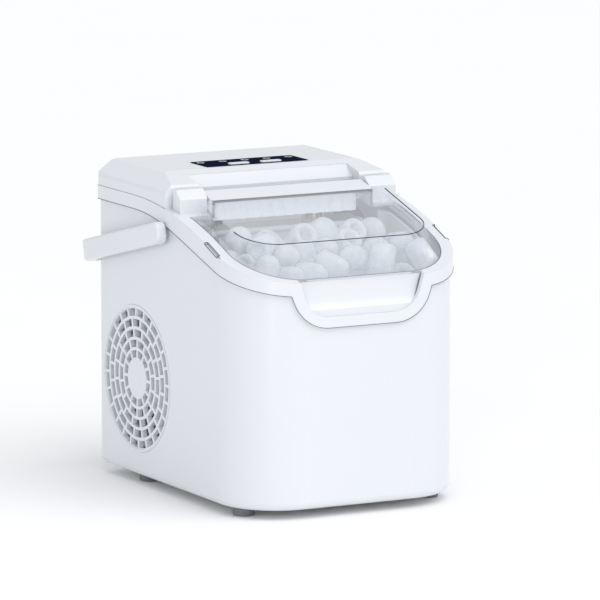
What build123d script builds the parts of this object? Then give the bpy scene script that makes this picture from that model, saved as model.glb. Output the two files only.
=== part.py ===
from build123d import *
import math
import os

os.makedirs("parts", exist_ok=True)

# ---------------------------------------------------------------- driving dimensions, mm
HALF_W = 111.0  # housing, centre to side wall
HALF_D = 145.0  # housing, centre to front or back wall
TOP_Z = 283.0
FOOT_H = 8.0
FRONT_R = 57.0  # plan radius of the front corners
REAR_R = 8.0
WALL = 2.5
BAND_PROUD = 2.5  # the white band stands out from the housing
LEDGE = 9.0  # and reaches this far in over its top
REACH = 130.0  # longer than the housing is wide to one side
FAR = 160.0  # longer than it is deep to one end

# carry handle: pivots on both sides, arms slope down to a bar behind the machine
PIVOT_Y = 10.0
PIVOT_Z = 234.0
HANDLE_TILT = 13.5
ARM_IN = 114.0
ARM_OUT = 124.0
ARM_HALF = 9.75  # half the height of an arm
BAR_IN = 149.0  # pivot to the bar's inner face
BAR_OUT = 159.0
HANDLE_SOFT = 2.5  # radius along the handle's edges
STUD_R = 4.95
BUSH_T = 2.7

# lid: pins across the machine at this axis
HINGE_Y = -3.0
HINGE_Z = 258.0
PIN_R = 2.5
LID_HALF = 101.5
LID_FRONT = -141.0
LID_CORNER = 52.0
NECK_HALF = 79.6  # the lid narrows here to pass between the hinge blocks
NECK_START = -19.0
NECK_END = 16.0
LID_T = 2.4
FACET_SLOPE = 0.285  # the window's flat top climbs towards the back
FACET_Z = 268.7  # its height above the housing's centre

BLOCK_IN = 80.5  # hinge blocks, from the centre line
BLOCK_OUT = 107.0
COVER_FRONT = 7.0
COVER_HALF = 113.0
SHOULDER_HALF = 96.0
BEVEL_HALF = 80.0

# control strip in the top cover
STRIP_HALF = 51.0
STRIP_Y0 = 47.0
STRIP_Y1 = 83.0
BUTTON_X = 16.0
BUTTON_Y = 54.5
BUTTON_L = 20.0
BUTTON_D = 7.0
LAMP_Y = 74.0
LAMP_PITCH = 22.0
BUTTON_GAP = 0.4

# round grille in the left wall, with the fan behind it
FAN_Y = 68.3
FAN_Z = 95.7
GRILLE_R = 66.0
HUB_R = 18.5
SLOT_W = 6.6
RING_PITCH = 9.3
RIB_W = 2.7
RIBS = (12, 14, 16, 20, 24)
GRILLE_T = 5.2

# tank and basket under the lid
TANK_HALF = 97.0
TANK_FRONT = -128.0
TANK_REAR = -8.0
TANK_Z = 62.0
TANK_R = 40.0
TANK_T = 2.5
BASKET_GAP = 3.0
BASKET_Z = 104.0
BASKET_TOP = 198.0
FOAM_T = 6.0

# ice maker proper, above the deck at the back
DECK_Z = 160.0
DECK_T = 3.0
TRAY_Y = 38.0
TRAY_Z = 212.0
TRAY_R = 35.0
TRAY_T = 2.0
TRAY_HALF = 68.0
FRAME_X = 73.0
SHOVEL_Y = -4.0
SHOVEL_Z = 232.0
SHOVEL_L = 27.0

# cooling circuit below the deck
COMP_X = 34.0
COMP_Y = 84.0
COMP_R = 43.0
PAN_Z = 10.5
PAN_T = 3.0

DRAIN_X = 84.0
DRAIN_Z = 33.0
INLET_X = -62.0
INLET_Z = 44.0

# The origin is under the middle of the whole machine with its handle folded back,
# so the housing's own centre stands a little in front of it.
TILT = math.radians(HANDLE_TILT)
REACH_BACK = (BAR_OUT - HANDLE_SOFT) * math.cos(TILT) + (ARM_HALF - HANDLE_SOFT) * math.sin(TILT)
REAR_MOST = PIVOT_Y + REACH_BACK + HANDLE_SOFT
FRONT_MOST = -HALF_D - BAND_PROUD
HOUSING_Y = -(REAR_MOST + FRONT_MOST) / 2
HOUSING = Plane((0, HOUSING_Y, 0))
print("housing centre stands at y =", round(HOUSING_Y, 3))


# ---------------------------------------------------------------- planes and profiles
def level(z):
    """A horizontal plane at height z, centred on the housing."""
    return HOUSING.offset(z)


def upright(y):
    """A plane across the machine that faces the front."""
    return Plane((0, HOUSING_Y + y, 0), x_dir=(1, 0, 0), z_dir=(0, -1, 0))


def side(x):
    """A plane along the machine: its x runs backwards and its y runs up."""
    return Plane((x, HOUSING_Y, 0), x_dir=(0, 1, 0), z_dir=(1, 0, 0))


def keep(piece, name):
    """Label a finished piece and write its file."""
    piece.part.label = name
    export_step(piece.part, f"parts/{name}.step")


def outline(inset, z, half_w=HALF_W, front=-HALF_D, rear=HALF_D, front_r=FRONT_R, rear_r=REAR_R):
    """A rounded plan like the housing's, drawn in by inset, at height z."""
    with BuildSketch(level(z)) as plan:
        with Locations((0, (front + rear) / 2)):
            Rectangle(2 * (half_w - inset), rear - front - 2 * inset)
        fillet(plan.vertices().group_by(Axis.Y)[0], max(front_r - inset, 1))
        fillet(plan.vertices().group_by(Axis.Y)[-1], max(rear_r - inset, 1))
    return plan.sketch


def below(z_front, knee_y, z_back, radius):
    """All that is under a line that climbs from the front and levels out behind its knee."""
    with BuildSketch(side(-REACH)) as region:
        with BuildLine():
            line = FilletPolyline((-FAR, z_front), (knee_y, z_back), (FAR, z_back), radius=radius)
            Polyline(line @ 1, (FAR, -20), (-FAR, -20), line @ 0)
        make_face()
    return region.sketch


def notch(half_top, z_top, half_low, z_low, radius, y):
    """A U-shaped outline on the front face."""
    with BuildSketch(upright(y)) as shape:
        with BuildLine():
            FilletPolyline(
                (-half_top, z_top), (-half_low, z_low), (half_low, z_low), (half_top, z_top), radius=radius
            )
            Line((half_top, z_top), (-half_top, z_top))
        make_face()
    return shape.sketch


BAND_LOW = below(191.6, 29.3, 248.0, 270)
BAND_TOP = below(201.6, -8.4, 260.0, 420)
LEDGE_LOW = below(201.6 - WALL, -8.4, 260.0 - WALL, 420)
TANK_RIM = below(201.6 - 9, -8.4, 260.0 - 9, 420)
TAB = notch(70, 200, 58, 166.3, 36, -HALF_D + 40)
GRIP = notch(62, 212, 50.5, 175.6, 26, -HALF_D + 40)


# ---------------------------------------------------------------- housing
with BuildPart(HOUSING) as wrap_housing:
    extrude(outline(0, FOOT_H), amount=262 - FOOT_H)
    fillet(wrap_housing.faces().sort_by(Axis.Z)[0].edges(), 7)
    with BuildPart(mode=Mode.SUBTRACT) as hollow:
        extrude(outline(WALL, FOOT_H + WALL), amount=262)
        fillet(hollow.faces().sort_by(Axis.Z)[0].edges(), 4.5)
    extrude(outline(32, 0), amount=20, mode=Mode.SUBTRACT)
    # a lip inside the back for the rear cover to screw to
    with Locations((0, HALF_D - 4, 131)):
        Box(208, 3, 236)
    with Locations((0, HALF_D, 131)):
        Box(2 * 94, 30, 218, mode=Mode.SUBTRACT)
    with Locations((0, HALF_D, 131)):
        Box(2 * 100, 2 * WALL, 230, mode=Mode.SUBTRACT)
    extrude(BAND_LOW, amount=2 * REACH, mode=Mode.INTERSECT)
    extrude(TAB, amount=60, mode=Mode.SUBTRACT)
    # round seat of the side grille, and the holes for the handle's pivots
    with Locations((-HALF_W, FAN_Y, FAN_Z)):
        Cylinder(GRILLE_R, 12, rotation=(0, 90, 0), mode=Mode.SUBTRACT)
    with Locations((0, PIVOT_Y, PIVOT_Z)):
        Cylinder(STUD_R + 0.05, 2 * HALF_W + 10, rotation=(0, 90, 0), mode=Mode.SUBTRACT)
keep(wrap_housing, "wrap_housing")

SCREW_SPOTS = [(x, z) for x in (-97, 97) for z in (40, 130, 220)]
with BuildPart(HOUSING) as rear_cover:
    with Locations((0, HALF_D - WALL / 2, 131)):
        Box(2 * 99.7, WALL, 229.4)
    fillet(rear_cover.edges().filter_by(Axis.Y), 3)
    with BuildSketch(upright(HALF_D)) as louvres:
        with Locations((0, 150)):
            with GridLocations(58, 9, 3, 11):
                SlotOverall(46, 4)
    extrude(amount=20, both=True, mode=Mode.SUBTRACT)
    with Locations((DRAIN_X, HALF_D, DRAIN_Z)):
        Cylinder(7.05, 20, rotation=(90, 0, 0), mode=Mode.SUBTRACT)
    with Locations((INLET_X, HALF_D, INLET_Z)):
        Box(28.2, 20, 20.2, mode=Mode.SUBTRACT)
    for x, z in SCREW_SPOTS:
        with Locations((x, HALF_D, z)):
            Cylinder(1.6, 20, rotation=(90, 0, 0), mode=Mode.SUBTRACT)
keep(rear_cover, "rear_cover")

with BuildPart(HOUSING) as housing_screws:
    for x, z in SCREW_SPOTS:
        with Locations((x, HALF_D + 0.9, z)):
            Cylinder(3.2, 1.8, rotation=(90, 0, 0))
        with Locations((x, HALF_D - 1, z)):
            Cylinder(1.5, 3, rotation=(90, 0, 0))
keep(housing_screws, "housing_screws")

with BuildPart(HOUSING) as base_pan:
    extrude(outline(10, PAN_Z), amount=PAN_T)
    # raised pads for the compressor's grommets
    with Locations((COMP_X, COMP_Y, PAN_Z + PAN_T + 1)):
        with PolarLocations(38, 3, 30):
            Cylinder(8, 2)
keep(base_pan, "base_pan")

with BuildPart(HOUSING) as rubber_feet:
    for x, y in ((-91, -99), (91, -99), (-91, 82), (91, 82)):
        with Locations((x, y, FOOT_H / 2)):
            Cylinder(9.5, FOOT_H)
    fillet(rubber_feet.faces().group_by(Axis.Z)[0].edges(), 1.2)
keep(rubber_feet, "rubber_feet")

# the white band: a skirt proud of the housing, a ledge over its top, and the U at the front
with BuildPart(HOUSING) as trim_ring:
    extrude(outline(-BAND_PROUD, 190), amount=90)
    extrude(BAND_TOP, amount=2 * REACH, mode=Mode.INTERSECT)
    with BuildPart(mode=Mode.SUBTRACT):
        extrude(outline(WALL, 150), amount=130)
        extrude(LEDGE_LOW, amount=2 * REACH, mode=Mode.INTERSECT)
    extrude(BAND_LOW, amount=2 * REACH, mode=Mode.SUBTRACT)
    # open in the middle, with a shelf under each hinge block
    lid_seat = outline(0, 180, LID_HALF + 0.5, LID_FRONT - 0.5, NECK_START + 0.6, LID_CORNER + 0.5, 1)
    extrude(lid_seat, amount=110, mode=Mode.SUBTRACT)
    with Locations((0, (NECK_START + HALF_D - LEDGE) / 2, 240)):
        Box(2 * BLOCK_IN, HALF_D - LEDGE - NECK_START, 120, mode=Mode.SUBTRACT)
    with BuildPart(mode=Mode.ADD):
        extrude(outline(-BAND_PROUD, 160), amount=45)
        extrude(outline(WALL, 150), amount=80, mode=Mode.SUBTRACT)
        extrude(TAB, amount=60, mode=Mode.INTERSECT)
    extrude(BAND_TOP, amount=2 * REACH, mode=Mode.INTERSECT)
    extrude(GRIP, amount=60, mode=Mode.SUBTRACT)
    # a small latch notch in the outer edge, one each side
    for s in (-1, 1):
        with Locations(Location((s * 112.6, -82, 231.5), (21, 0, 0))):
            Box(3.4, 25, 3.6, mode=Mode.SUBTRACT)
keep(trim_ring, "trim_ring")

# finger recess under the lid's front edge
with BuildPart(HOUSING) as grip_panel:
    extrude(outline(0.6, 160), amount=60)
    extrude(outline(8.5, 150), amount=90, mode=Mode.SUBTRACT)
    extrude(GRIP, amount=60, mode=Mode.INTERSECT)
    extrude(LEDGE_LOW, amount=2 * REACH, mode=Mode.INTERSECT)
    with Locations((0, -HALF_D - 34.6, 201)):
        Cylinder(40, 240, rotation=(0, 90, 0), mode=Mode.SUBTRACT)
keep(grip_panel, "grip_panel")


# ---------------------------------------------------------------- top cover and controls
def shoulders(inset):
    """The top cover's section across the machine, with bevelled shoulders."""
    with BuildSketch(upright(HALF_D + 20)) as section:
        with BuildLine():
            FilletPolyline(
                (-COVER_HALF + inset, 240),
                (-COVER_HALF + inset, 270 - inset / 2),
                (-SHOULDER_HALF + inset / 2, TOP_Z - inset),
                (SHOULDER_HALF - inset / 2, TOP_Z - inset),
                (COVER_HALF - inset, 270 - inset / 2),
                (COVER_HALF - inset, 240),
                radius=5,
            )
            Line((COVER_HALF - inset, 240), (-COVER_HALF + inset, 240))
        make_face()
    return section.sketch


def roof(inset):
    """The top cover's section along the machine: it drops to the hinge blocks in front, and rounds off behind."""
    with BuildSketch(side(-REACH)) as section:
        with BuildLine():
            FilletPolyline(
                (COVER_FRONT + inset, 240),
                (COVER_FRONT + inset, 275 - inset),
                (42, TOP_Z - inset),
                (HALF_D - 1.5 - inset, TOP_Z - inset),
                (HALF_D - 1.5 - inset, 240),
                radius=4.2,
            )
            Line((HALF_D - 1.5 - inset, 240), (COVER_FRONT + inset, 240))
        make_face()
    return section.sketch


def front_step(face_y, bevel_z, bevel_y, x):
    """The step between the hinge blocks: an upright face with a bevel over it, and all in front of them."""
    with BuildSketch(side(x)) as step:
        with BuildLine():
            Polyline(
                (0, 230),
                (face_y, 230),
                (face_y, bevel_z),
                (bevel_y, bevel_z + 0.87 * (bevel_y - face_y)),
                (bevel_y, 300),
                (0, 300),
                (0, 230),
            )
        make_face()
    return step.sketch


with BuildPart(HOUSING) as top_cover:
    extrude(shoulders(0), amount=2 * FAR)
    extrude(roof(0), amount=2 * REACH, mode=Mode.INTERSECT)
    extrude(outline(HALF_W - COVER_HALF, 240), amount=60, mode=Mode.INTERSECT)
    # hollow inside, but for a wall behind the step in its front
    with BuildPart(mode=Mode.SUBTRACT):
        extrude(shoulders(WALL), amount=2 * FAR)
        extrude(roof(WALL), amount=2 * REACH, mode=Mode.INTERSECT)
        behind_step = front_step(20 + WALL, 268.5, 34, -BEVEL_HALF - WALL)
        extrude(behind_step, amount=2 * (BEVEL_HALF + WALL), mode=Mode.SUBTRACT)
    # between the hinge blocks the front is a bevel over an upright face
    extrude(front_step(20, 270, 31, -BEVEL_HALF), amount=2 * BEVEL_HALF, mode=Mode.SUBTRACT)
    extrude(BAND_TOP, amount=2 * REACH, mode=Mode.SUBTRACT)
    # pocket for the control strip, and wells for the two buttons and the lamps
    with Locations((0, (STRIP_Y0 + STRIP_Y1) / 2, TOP_Z)):
        Box(2 * STRIP_HALF, STRIP_Y1 - STRIP_Y0, 2.4, mode=Mode.SUBTRACT)
    for s in (-1, 1):
        with Locations((s * BUTTON_X, BUTTON_Y, TOP_Z)):
            Box(BUTTON_L + 2 * BUTTON_GAP, BUTTON_D + 2 * BUTTON_GAP, 20, mode=Mode.SUBTRACT)
    for n in range(-2, 3):
        with Locations((n * LAMP_PITCH, LAMP_Y, TOP_Z)):
            Cylinder(3.2, 20, mode=Mode.SUBTRACT)
keep(top_cover, "top_cover")

with BuildPart(HOUSING) as control_overlay:
    with Locations((0, (STRIP_Y0 + STRIP_Y1) / 2, TOP_Z - 0.4)):
        Box(2 * STRIP_HALF - 0.4, STRIP_Y1 - STRIP_Y0 - 0.4, 1.4)
    fillet(control_overlay.edges().filter_by(Axis.Z), 3)
    for s in (-1, 1):
        with Locations((s * BUTTON_X, BUTTON_Y, TOP_Z)):
            Box(BUTTON_L + 2 * BUTTON_GAP, BUTTON_D + 2 * BUTTON_GAP, 20, mode=Mode.SUBTRACT)
keep(control_overlay, "control_overlay")


def button(x):
    """One push button: a pad through the strip on a stem down to its switch."""
    with BuildPart(HOUSING) as pad:
        with Locations((x, BUTTON_Y, TOP_Z - 1.2)):
            Box(BUTTON_L, BUTTON_D, 5.2)
        fillet(pad.edges().filter_by(Axis.Z), 2.6)
        fillet(pad.faces().sort_by(Axis.Z)[-1].edges(), 0.6)
        with Locations((x, BUTTON_Y, TOP_Z - 5.6)):
            Cylinder(2, 4)
    return pad


power_button = button(-BUTTON_X)
keep(power_button, "power_button")
select_button = button(BUTTON_X)
keep(select_button, "select_button")

BOARD_Z = 269.0
with BuildPart(HOUSING) as display_board:
    with Locations((0, (STRIP_Y0 + STRIP_Y1) / 2, BOARD_Z)):
        Box(2 * STRIP_HALF, STRIP_Y1 - STRIP_Y0, 1.6)
    # posts that hang the board from the top cover
    for x in (-48, 48):
        for y in (STRIP_Y0 + 3, STRIP_Y1 - 3):
            with Locations((x, y, (BOARD_Z + 0.8 + TOP_Z - WALL) / 2)):
                Cylinder(1.8, TOP_Z - WALL - BOARD_Z - 0.8)
keep(display_board, "display_board")

with BuildPart(HOUSING) as button_switches:
    for s in (-1, 1):
        with Locations((s * BUTTON_X, BUTTON_Y, BOARD_Z + 0.8 + 2)):
            Box(6, 6, 4)
keep(button_switches, "button_switches")

with BuildPart(HOUSING) as light_guides:
    for n in range(-2, 3):
        with Locations((n * LAMP_PITCH, LAMP_Y, (BOARD_Z + 0.8 + TOP_Z - 1.1) / 2)):
            Cylinder(2.5, TOP_Z - 1.1 - BOARD_Z - 0.8)
keep(light_guides, "light_guides")


# ---------------------------------------------------------------- hinge blocks, lid and its pins
def hinge_block(s):
    """A white block at one rear corner of the lid, with the bore that its pin turns in."""
    with BuildPart(HOUSING) as block:
        with BuildSketch(side(-BLOCK_OUT if s < 0 else BLOCK_IN)) as profile:
            with BuildLine():
                FilletPolyline((3, 240), (3, 272.5), (-2, 272.5), (-10.5, 265), (-10.5, 240), radius=2)
                Line((-10.5, 240), (3, 240))
            make_face()
        extrude(amount=BLOCK_OUT - BLOCK_IN)
        extrude(shoulders(2.5), amount=2 * FAR, mode=Mode.INTERSECT)
        extrude(BAND_TOP, amount=2 * REACH, mode=Mode.SUBTRACT)
        with Locations((s * (BLOCK_IN + 9), HINGE_Y, HINGE_Z)):
            Cylinder(PIN_R + 0.05, 26, rotation=(0, 90, 0), mode=Mode.SUBTRACT)
    return block


hinge_block_left = hinge_block(-1)
keep(hinge_block_left, "hinge_block_left")
hinge_block_right = hinge_block(1)
keep(hinge_block_right, "hinge_block_right")

# The window's flat top lies on a sloping plane, and its walls spread down from it.
FACET_ANGLE = math.degrees(math.atan(FACET_SLOPE))
FACET_COS = math.cos(math.radians(FACET_ANGLE))


def facet_plane(drop):
    """The window's sloping plane, lowered by drop; its y runs up the slope from under the housing's centre."""
    return Plane(
        (0, HOUSING_Y, FACET_Z - drop),
        x_dir=(1, 0, 0),
        z_dir=(0, -math.sin(math.radians(FACET_ANGLE)), math.cos(math.radians(FACET_ANGLE))),
    )


def facet_outline(half_w, front, rear, front_r, rear_r, drop):
    """A rounded outline on the sloping plane."""
    with BuildSketch(facet_plane(drop)) as shape:
        with Locations((0, (front + rear) / 2 / FACET_COS)):
            Rectangle(2 * half_w, (rear - front) / FACET_COS)
        fillet(shape.vertices().group_by(Axis.Y)[0], front_r)
        fillet(shape.vertices().group_by(Axis.Y)[-1], rear_r)
    return shape.sketch


def window(shrink):
    """The raised window's outlines, top and foot, drawn in all round by shrink."""
    top = facet_outline(91.5 - shrink, -113 + shrink, 3 - shrink, 32 - shrink, 8 - shrink, shrink)
    foot = facet_outline(100.5 - shrink, -140 + shrink, 6 - shrink, 52 - shrink, 10 - shrink, 28)
    return [top, foot]


def beside_neck(inset):
    """Cut the room for the hinge blocks away on both sides of the lid's neck."""
    for s in (-1, 1):
        with Locations((s * (NECK_HALF - inset + 30), (NECK_START - inset + 40) / 2, 260)):
            Box(60, 40 - NECK_START + inset, 60, mode=Mode.SUBTRACT)


with BuildPart(HOUSING) as whole_lid:
    loft(window(0))
    # the flat rim follows the band's top
    with BuildPart(mode=Mode.ADD):
        extrude(outline(0, 190, LID_HALF, LID_FRONT, NECK_END, LID_CORNER, 3), amount=90)
        extrude(BAND_TOP, amount=2 * REACH, mode=Mode.INTERSECT)
    extrude(LEDGE_LOW, amount=2 * REACH, mode=Mode.SUBTRACT)
    beside_neck(0)
    with BuildPart(HOUSING, mode=Mode.SUBTRACT):
        loft(window(LID_T))
        beside_neck(LID_T)
    # knuckles on the neck hold the pins
    for s in (-1, 1):
        with Locations((s * (NECK_HALF - 4.5), HINGE_Y, HINGE_Z)):
            Cylinder(5, 9, rotation=(0, 90, 0))
        with Locations((s * (NECK_HALF - 4), HINGE_Y, HINGE_Z)):
            Cylinder(PIN_R, 16, rotation=(0, 90, 0), mode=Mode.SUBTRACT)

# a white bar on the neck carries the clear window
with BuildPart() as lid_window:
    add(whole_lid.part)
    split(bisect_by=upright(NECK_START + 1), keep=Keep.TOP)
keep(lid_window, "lid_window")

with BuildPart() as lid_bar:
    add(whole_lid.part)
    split(bisect_by=upright(NECK_START + 1), keep=Keep.BOTTOM)
keep(lid_bar, "lid_bar")

with BuildPart(HOUSING) as hinge_pins:
    for s in (-1, 1):
        with Locations((s * (NECK_HALF + 2.5), HINGE_Y, HINGE_Z)):
            Cylinder(PIN_R, 24, rotation=(0, 90, 0))
keep(hinge_pins, "hinge_pins")


# ---------------------------------------------------------------- carry handle
HANDLE = Plane(
    (0, HOUSING_Y + PIVOT_Y, PIVOT_Z), x_dir=(1, 0, 0), z_dir=(0, math.sin(TILT), math.cos(TILT))
)
with BuildPart() as carry_handle:
    with BuildSketch(HANDLE.offset(-ARM_HALF)) as hoop:
        with Locations((0, (BAR_OUT - 9) / 2)):
            Rectangle(2 * ARM_OUT, BAR_OUT + 9)
        fillet(hoop.vertices().group_by(Axis.Y)[-1], 22)
        with BuildSketch(HANDLE, mode=Mode.PRIVATE) as inner:
            with Locations((0, (BAR_IN - 20) / 2)):
                Rectangle(2 * ARM_IN, BAR_IN + 20)
            fillet(inner.vertices().group_by(Axis.Y)[-1], 12)
        add(inner.sketch_local, mode=Mode.SUBTRACT)
    extrude(amount=2 * ARM_HALF)
    # rounded front ends, then soft edges
    front_ends = carry_handle.edges().filter_by(Axis.X).sort_by(Axis.Y)[:4]
    fillet(front_ends, 6.5)
    fillet(carry_handle.faces().filter_by(HANDLE).edges(), HANDLE_SOFT)
    with BuildSketch(side(-ARM_OUT + 3)) as blind:
        with Locations((PIVOT_Y, PIVOT_Z)):
            Circle(STUD_R + 0.05)
    extrude(amount=2 * (ARM_OUT - 3), mode=Mode.SUBTRACT)
keep(carry_handle, "carry_handle")

with BuildPart(HOUSING) as handle_pivots:
    for s in (-1, 1):
        with Locations((s * (HALF_W + 3.5), PIVOT_Y, PIVOT_Z)):
            Cylinder(STUD_R, 12, rotation=(0, 90, 0))
        with Locations((s * (HALF_W - WALL - 2), PIVOT_Y, PIVOT_Z)):
            Cylinder(9, 4, rotation=(0, 90, 0))
keep(handle_pivots, "handle_pivots")

with BuildPart(HOUSING) as handle_bushes:
    for s in (-1, 1):
        with Locations((s * (HALF_W + BUSH_T / 2), PIVOT_Y, PIVOT_Z)):
            Cylinder(6.5, BUSH_T, rotation=(0, 90, 0))
            Cylinder(STUD_R, BUSH_T, rotation=(0, 90, 0), mode=Mode.SUBTRACT)
keep(handle_bushes, "handle_bushes")


# ---------------------------------------------------------------- side grille and fan
GRILLE = Plane((-HALF_W - 0.4, HOUSING_Y + FAN_Y, FAN_Z), x_dir=(0, 1, 0), z_dir=(1, 0, 0))
with BuildPart() as side_grille:
    with BuildSketch(GRILLE) as disc:
        Circle(GRILLE_R - 0.2)
    extrude(amount=GRILLE_T)
    for n, ribs in enumerate(RIBS):
        inner_r = HUB_R + n * RING_PITCH
        with BuildSketch(GRILLE) as ring:
            Circle(inner_r + SLOT_W)
            Circle(inner_r, mode=Mode.SUBTRACT)
            with PolarLocations(inner_r + SLOT_W / 2, ribs, 90 / ribs * (n % 2) + 7 * n):
                Rectangle(SLOT_W + 2, RIB_W, mode=Mode.SUBTRACT)
        extrude(amount=GRILLE_T, mode=Mode.SUBTRACT)
    # the face inside the lip is sunk a little
    with BuildSketch(GRILLE) as sunk:
        Circle(GRILLE_R - 2.4)
    extrude(amount=0.9, mode=Mode.SUBTRACT)
keep(side_grille, "side_grille")

SHROUD_X = -104.0
with BuildPart(HOUSING) as fan_shroud:
    with Locations((SHROUD_X + 12, FAN_Y, FAN_Z)):
        Box(24, 126, 124)
        Cylinder(56, 30, rotation=(0, 90, 0), mode=Mode.SUBTRACT)
    # three arms carry the motor
    for n in range(3):
        spoke = Location((SHROUD_X + 22, FAN_Y, FAN_Z), (120 * n + 30, 0, 0)) * Location((0, 36.5, 0))
        with Locations(spoke):
            Box(4, 43, 7)
keep(fan_shroud, "fan_shroud")

FAN_AXIS = Plane((SHROUD_X + 9, HOUSING_Y + FAN_Y, FAN_Z), z_dir=(1, 0, 0))
with BuildPart() as fan_blade:
    with Locations(FAN_AXIS.location):
        Cylinder(15, 11)
        for n in range(7):
            with Locations(Location((0, 0, 0), (0, 0, 360 / 7 * n)) * Location((32, 0, 0), (32, 0, 0))):
                Box(38, 20, 1.6)
        Cylinder(2, 12, mode=Mode.SUBTRACT)
keep(fan_blade, "fan_blade")

with BuildPart() as fan_shaft:
    with Locations(FAN_AXIS.offset(4).location):
        Cylinder(2, 18)
keep(fan_shaft, "fan_shaft")

with BuildPart() as fan_motor:
    with Locations(FAN_AXIS.offset(17).location):
        Cylinder(15, 18)
    with Locations(FAN_AXIS.offset(8).location):
        Cylinder(2.05, 12, mode=Mode.SUBTRACT)
keep(fan_motor, "fan_motor")

with BuildPart(HOUSING) as condenser:
    for n in range(14):
        with Locations((-64 + 1.8 * n, FAN_Y, 95.5)):
            Box(0.9, 112, 116)
    for z in (50, 80, 110, 140):
        with Locations((-52.3, FAN_Y, z)):
            for y in (-44, -15, 15, 44):
                with Locations((0, y, 0)):
                    Cylinder(3.5, 26, rotation=(0, 90, 0))
    with Locations((-52.3, FAN_Y, 34.5)):
        Box(26, 112, 7)
    with Locations((-52.3, FAN_Y, 22)):
        Box(20, 80, 2 * (22 - PAN_Z - PAN_T))
keep(condenser, "condenser")


# ---------------------------------------------------------------- tank, foam, basket
with BuildPart(HOUSING) as water_tank:
    extrude(outline(0, TANK_Z, TANK_HALF, TANK_FRONT, TANK_REAR, TANK_R, 10), amount=240)
    extrude(
        outline(TANK_T, TANK_Z + TANK_T, TANK_HALF, TANK_FRONT, TANK_REAR, TANK_R, 10),
        amount=240,
        mode=Mode.SUBTRACT,
    )
    extrude(TANK_RIM, amount=2 * REACH, mode=Mode.INTERSECT)
    # the back wall stops below the shovel
    with Locations((0, TANK_REAR, 250)):
        Box(2 * (TANK_HALF - 8), 12, 2 * (250 - BASKET_TOP + 2), mode=Mode.SUBTRACT)
    with Locations((DRAIN_X - 8, TANK_REAR - 14, TANK_Z)):
        Cylinder(4.5, 20, mode=Mode.SUBTRACT)
keep(water_tank, "water_tank")

with BuildPart(HOUSING) as tank_foam:
    extrude(outline(-FOAM_T, TANK_Z - 8, TANK_HALF, TANK_FRONT, TANK_REAR - FOAM_T, TANK_R, 10), amount=134)
    extrude(
        outline(0, TANK_Z, TANK_HALF, TANK_FRONT, TANK_REAR, TANK_R, 10), amount=200, mode=Mode.SUBTRACT
    )
    with Locations((DRAIN_X - 8, TANK_REAR - 14, TANK_Z)):
        Cylinder(6.5, 40, mode=Mode.SUBTRACT)
keep(tank_foam, "tank_foam")

with BuildPart(HOUSING) as tank_legs:
    for x, y in ((-60, -100), (60, -100), (-60, -40), (60, -40)):
        with Locations((x, y, (PAN_Z + PAN_T + TANK_Z - 8) / 2)):
            Cylinder(7, TANK_Z - 8 - PAN_Z - PAN_T)
keep(tank_legs, "tank_legs")

BASKET_INSET = TANK_T + BASKET_GAP
with BuildPart(HOUSING) as ice_basket:
    extrude(
        outline(BASKET_INSET, BASKET_Z, TANK_HALF, TANK_FRONT, TANK_REAR, TANK_R, 10),
        amount=BASKET_TOP - BASKET_Z,
    )
    extrude(
        outline(BASKET_INSET + 2, BASKET_Z + 2, TANK_HALF, TANK_FRONT, TANK_REAR, TANK_R, 10),
        amount=BASKET_TOP,
        mode=Mode.SUBTRACT,
    )
    # drain slots in the floor, and two rows in the front
    with BuildSketch(level(BASKET_Z)) as floor_slots:
        with Locations((0, (TANK_FRONT + TANK_REAR) / 2)):
            with GridLocations(32, 14, 5, 6):
                SlotOverall(24, 5)
    extrude(amount=5, mode=Mode.SUBTRACT)
    # four feet hold it off the tank's floor
    for x, y in ((-70, -95), (70, -95), (-70, -30), (70, -30)):
        with Locations((x, y, (TANK_Z + TANK_T + BASKET_Z) / 2)):
            Cylinder(4, BASKET_Z - TANK_Z - TANK_T)
keep(ice_basket, "ice_basket")

with BuildPart(HOUSING) as ice_sensor:
    for s in (-1, 1):
        with Locations((s * (TANK_HALF - TANK_T - 2.5), -50, 212)):
            Box(5, 16, 10)
keep(ice_sensor, "ice_sensor")


# ---------------------------------------------------------------- deck, evaporator, tray and shovel
HOSE_X = 86.0
HOSE_Y = 15.8
SUCTION_X = 57.0
SUCTION_Y = 99.0
with BuildPart(HOUSING) as inner_deck:
    with Locations((0, 136 / 2, DECK_Z + DECK_T / 2)):
        Box(2 * (HALF_W - WALL) - 0.4, 136, DECK_T)
    with Locations((HOSE_X, HOSE_Y, DECK_Z)):
        Cylinder(5, 20, mode=Mode.SUBTRACT)
    with Locations((SUCTION_X, SUCTION_Y, DECK_Z)):
        Cylinder(4, 20, mode=Mode.SUBTRACT)
    # ledges under the deck on the side walls
    for s in (-1, 1):
        with Locations((s * (HALF_W - WALL - 1.2), 100, DECK_Z - 6)):
            Box(2, 60, 12)
    # clear of the side grille's deep slots
    with Locations((-HALF_W, FAN_Y, FAN_Z)):
        Cylinder(GRILLE_R + 0.5, 12, rotation=(0, 90, 0), mode=Mode.SUBTRACT)
keep(inner_deck, "inner_deck")

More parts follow.
